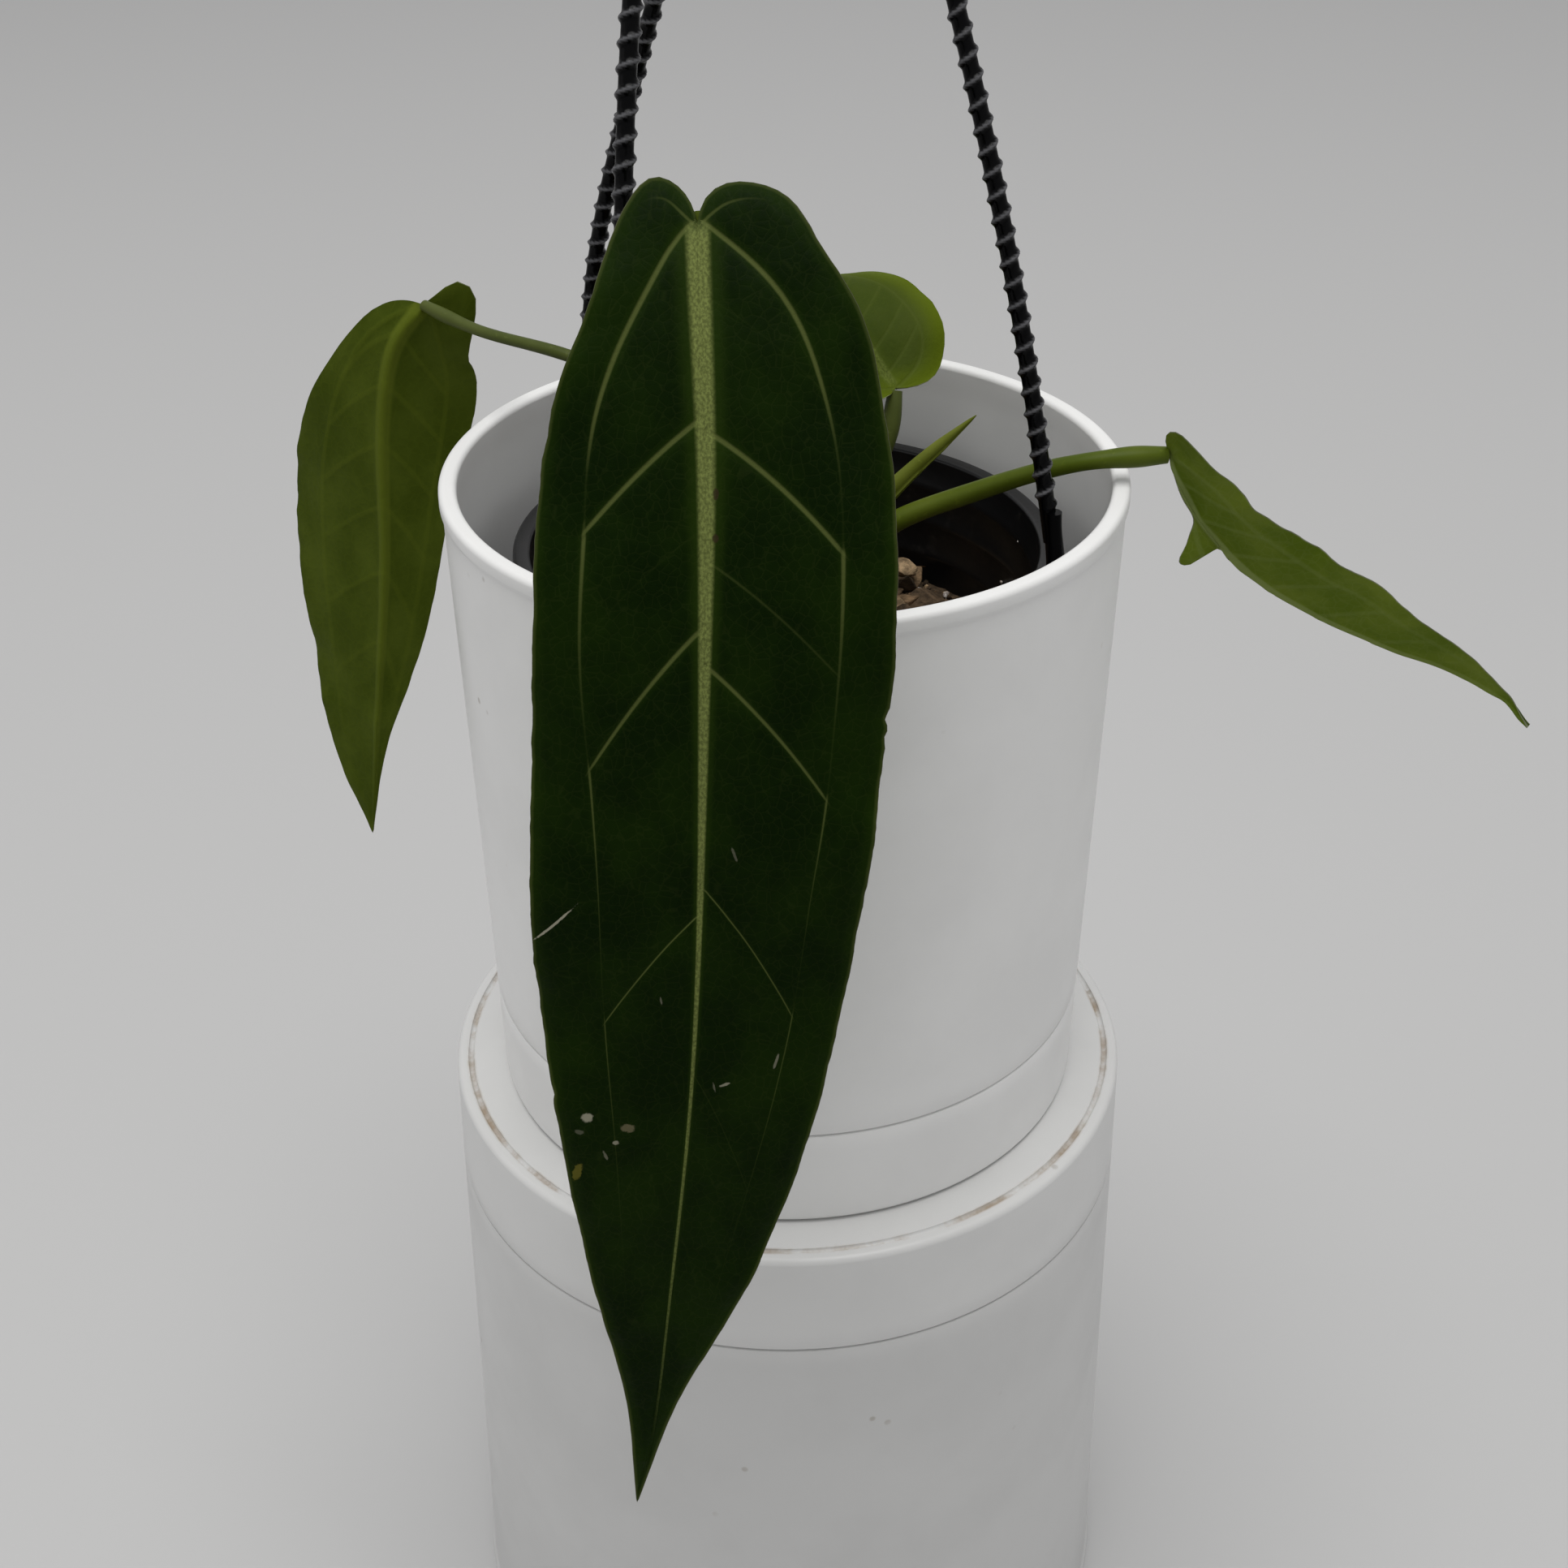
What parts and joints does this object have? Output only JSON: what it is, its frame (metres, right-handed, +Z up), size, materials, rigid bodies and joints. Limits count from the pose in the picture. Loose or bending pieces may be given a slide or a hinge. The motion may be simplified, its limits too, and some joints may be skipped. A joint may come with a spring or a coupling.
{
  "type": "potted anthurium",
  "caption": "Long-leaved anthurium growing in a black nursery pot on a ribbed hanger, set in a white cover pot on an upturned larger pot.",
  "frame": {"origin": "on the resting plane, under the middle of the whole object's bounding box; the pots' common axis is at x = -0.0216, y = 0.0250", "axes": "+Z up; -Y towards the side the long front leaf hangs over, +X towards the right leaf, -X towards the left leaf"},
  "size_m": [0.2826, 0.2204, 0.5816],
  "materials": {
    "white_plastic": "smooth satin white",
    "black_plastic": "moulded satin black",
    "bark": "rough broken bark",
    "perlite": "rough white granules",
    "stalk": "smooth living stalk",
    "dark_leaf": "velvety dark green leaf with pale veins",
    "young_leaf": "satin bright green young leaf",
    "crown": "rough green-brown stem"
  },
  "bodies": {
    "root": {"riser_pot": "white_plastic", "riser_pot_saucer": "white_plastic", "cover_pot": "white_plastic", "cover_pot_saucer": "white_plastic", "nursery_pot": "black_plastic", "potting_mix": "bark", "stem_crown": "crown", "leaf_front": "dark_leaf", "leaf_left": "dark_leaf", "leaf_right": "dark_leaf", "leaf_back": "young_leaf", "petiole_front": "stalk", "petiole_left": "stalk", "petiole_right": "stalk", "petiole_back": "stalk", "new_leaf_spike": "stalk", "hanger_strand_right": "black_plastic", "hanger_strand_back": "black_plastic", "hanger_strand_front": "black_plastic", "hanger_collar": "black_plastic", "hanger_hook": "black_plastic", "bark_chip_01": "bark", "bark_chip_02": "bark", "bark_chip_03": "bark", "bark_chip_04": "bark", "bark_chip_05": "bark", "bark_chip_06": "bark", "bark_chip_07": "bark", "bark_chip_08": "bark", "bark_chip_09": "bark", "bark_chip_10": "bark", "bark_chip_11": "bark", "bark_chip_12": "bark", "bark_chip_13": "bark", "bark_chip_14": "bark", "bark_chip_15": "bark", "perlite_1": "perlite", "perlite_2": "perlite", "perlite_3": "perlite", "perlite_4": "perlite"}
  },
  "joints": []
}
